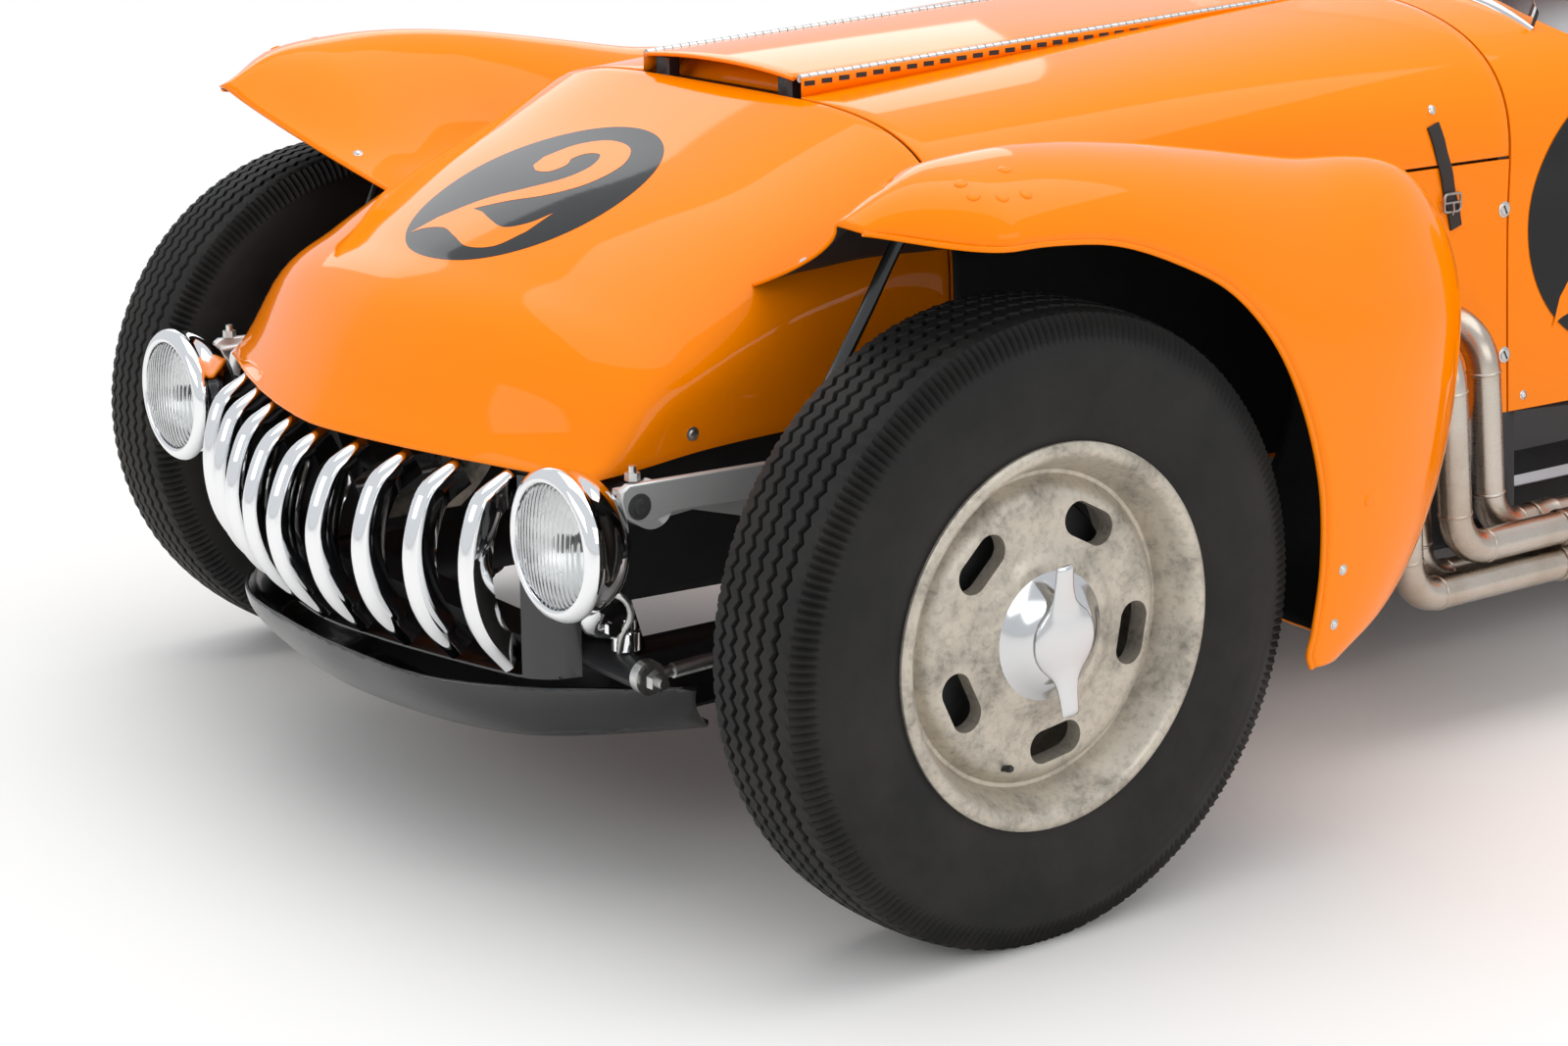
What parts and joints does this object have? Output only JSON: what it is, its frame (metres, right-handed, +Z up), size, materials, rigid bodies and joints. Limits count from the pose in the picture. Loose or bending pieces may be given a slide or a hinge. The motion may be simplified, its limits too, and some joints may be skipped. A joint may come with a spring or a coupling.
{
  "type": "vintage sports racing car",
  "caption": "Open two-seat front-engined sports racing car with cycle-type fenders, wide slatted grille, side exhausts, hinged hood panels, doors, steering linkage and turning road wheels.",
  "frame": {"origin": "on the ground under the middle of the car, on its centre line", "axes": "+X forward towards the nose, +Y to the driver's left, +Z up"},
  "size_m": [3.6388, 1.69, 1.0966],
  "materials": {
    "axle_steel": "satin",
    "bare_aluminium": "satin",
    "dash_paint": "satin",
    "engine_iron": "painted",
    "exhaust_steel": "brushed",
    "frame_paint": "satin",
    "grille_chrome": "polished",
    "hub_metal": "satin",
    "lamp_chrome": "polished",
    "lamp_glass": "clear fluted",
    "magnesium": "aged satin",
    "orange_door": "gloss",
    "orange_paint": "gloss",
    "red_glass": "clear",
    "rod_steel": "satin",
    "satin_black_sheet": "satin",
    "screen_glass": "clear",
    "seat_leather": "satin",
    "tyre_rubber": "matte",
    "wheel_rim_wood": "varnished"
  },
  "bodies": {
    "car_body": {"chin_pan": "satin_black_sheet", "cowl": "orange_paint", "dashboard": "dash_paint", "engine_block": "engine_iron", "exhausts": "exhaust_steel", "fenders_front": "orange_paint", "fenders_rear": "orange_paint", "filler_cap": "bare_aluminium", "floor_pan": "bare_aluminium", "frame": "frame_paint", "front_axle": "axle_steel", "grille_bars": "grille_chrome", "grille_surround": "satin_black_sheet", "headlamp_lenses": "lamp_glass", "headlamps": "lamp_chrome", "hood_centre": "orange_paint", "hood_hinges": "hub_metal", "nose": "orange_paint", "radius_rods": "rod_steel", "rear_axle": "axle_steel", "seats": "seat_leather", "side_panels": "orange_paint", "splash_panels": "orange_paint", "steering_gear": "rod_steel", "tail_body": "orange_paint", "tail_lamps": "red_glass", "tail_panel": "orange_paint", "torsion_arms": "axle_steel", "windscreen": "screen_glass"},
    "left_hood_lid": {"hood_left": "orange_paint"},
    "right_hood_lid": {"hood_right": "orange_paint"},
    "left_door": {"door_left": "orange_door"},
    "right_door": {"door_right": "orange_door"},
    "left_knuckle": {"knuckle_left": "rod_steel"},
    "right_knuckle": {"knuckle_right": "rod_steel"},
    "track_rod": {"tie_rod": "rod_steel"},
    "drag_rod": {"drag_link": "rod_steel"},
    "drop_arm": {"pitman_arm": "rod_steel"},
    "hand_wheel": {"steering_wheel": "wheel_rim_wood"},
    "wheel_front_left_body": {"tyre_front_left": "tyre_rubber", "wheel_front_left": "magnesium", "hub_front_left": "hub_metal"},
    "wheel_front_right_body": {"tyre_front_right": "tyre_rubber", "wheel_front_right": "magnesium", "hub_front_right": "hub_metal"},
    "wheel_rear_left_body": {"tyre_rear_left": "tyre_rubber", "wheel_rear_left": "magnesium", "hub_rear_left": "hub_metal"},
    "wheel_rear_right_body": {"tyre_rear_right": "tyre_rubber", "wheel_rear_right": "magnesium", "hub_rear_right": "hub_metal"}
  },
  "joints": [
    {"name": "steer_left", "type": "hinge", "parent": "car_body", "child": "left_knuckle", "pos_m": [1.275, 0.612, 0.36], "axis": [0, 0, 1], "range_deg": [-22, 22]},
    {"name": "steer_right", "type": "hinge", "parent": "car_body", "child": "right_knuckle", "pos_m": [1.275, -0.612, 0.36], "axis": [0, 0, 1], "range_deg": [-22, 22]},
    {"name": "track_rod_pivot", "type": "hinge", "parent": "left_knuckle", "child": "track_rod", "pos_m": [1.135, 0.612, 0.325], "axis": [0, 0, 1], "range_deg": [-22, 22]},
    {"name": "drag_rod_pivot", "type": "hinge", "parent": "left_knuckle", "child": "drag_rod", "pos_m": [1.135, 0.612, 0.2904], "axis": [0, 0, 1], "range_deg": [-22, 22]},
    {"name": "drop_arm_turn", "type": "hinge", "parent": "car_body", "child": "drop_arm", "pos_m": [1.215, 0.22, 0.273], "axis": [0, 0, 1], "range_deg": [-22, 22]},
    {"name": "hand_wheel_turn", "type": "hinge", "parent": "car_body", "child": "hand_wheel", "pos_m": [-0.215, 0.262, 0.8], "axis": [-0.9701, 0.0285, 0.2408], "range_deg": [-264, 264]},
    {"name": "wheel_spin_front_left", "type": "hinge", "parent": "left_knuckle", "child": "wheel_front_left_body", "pos_m": [1.275, 0.746, 0.36], "axis": [0, 1, 0], "continuous": true},
    {"name": "wheel_spin_front_right", "type": "hinge", "parent": "right_knuckle", "child": "wheel_front_right_body", "pos_m": [1.275, -0.746, 0.36], "axis": [0, 1, 0], "continuous": true},
    {"name": "wheel_spin_rear_left", "type": "hinge", "parent": "car_body", "child": "wheel_rear_left_body", "pos_m": [-0.96, 0.746, 0.36], "axis": [0, 1, 0], "continuous": true},
    {"name": "wheel_spin_rear_right", "type": "hinge", "parent": "car_body", "child": "wheel_rear_right_body", "pos_m": [-0.96, -0.746, 0.36], "axis": [0, 1, 0], "continuous": true},
    {"name": "hood_lift_left", "type": "hinge", "parent": "car_body", "child": "left_hood_lid", "pos_m": [1.143, 0.169, 0.896], "axis": [0.9987, 0, -0.051], "range_deg": [0, 75]},
    {"name": "hood_lift_right", "type": "hinge", "parent": "car_body", "child": "right_hood_lid", "pos_m": [1.143, -0.169, 0.896], "axis": [-0.9987, 0, 0.051], "range_deg": [0, 75]},
    {"name": "door_open_left", "type": "hinge", "parent": "car_body", "child": "left_door", "pos_m": [-0.015, 0.516, 0.55], "axis": [0, 0, -1], "range_deg": [0, 70]},
    {"name": "door_open_right", "type": "hinge", "parent": "car_body", "child": "right_door", "pos_m": [-0.015, -0.516, 0.55], "axis": [0, 0, 1], "range_deg": [0, 70]}
  ],
  "couplings": [
    {"joint": "steer_right", "follows": "steer_left", "ratio": 1},
    {"joint": "track_rod_pivot", "follows": "steer_left", "ratio": -1},
    {"joint": "drag_rod_pivot", "follows": "steer_left", "ratio": -1},
    {"joint": "drop_arm_turn", "follows": "steer_left", "ratio": 1},
    {"joint": "hand_wheel_turn", "follows": "steer_left", "ratio": 12}
  ]
}
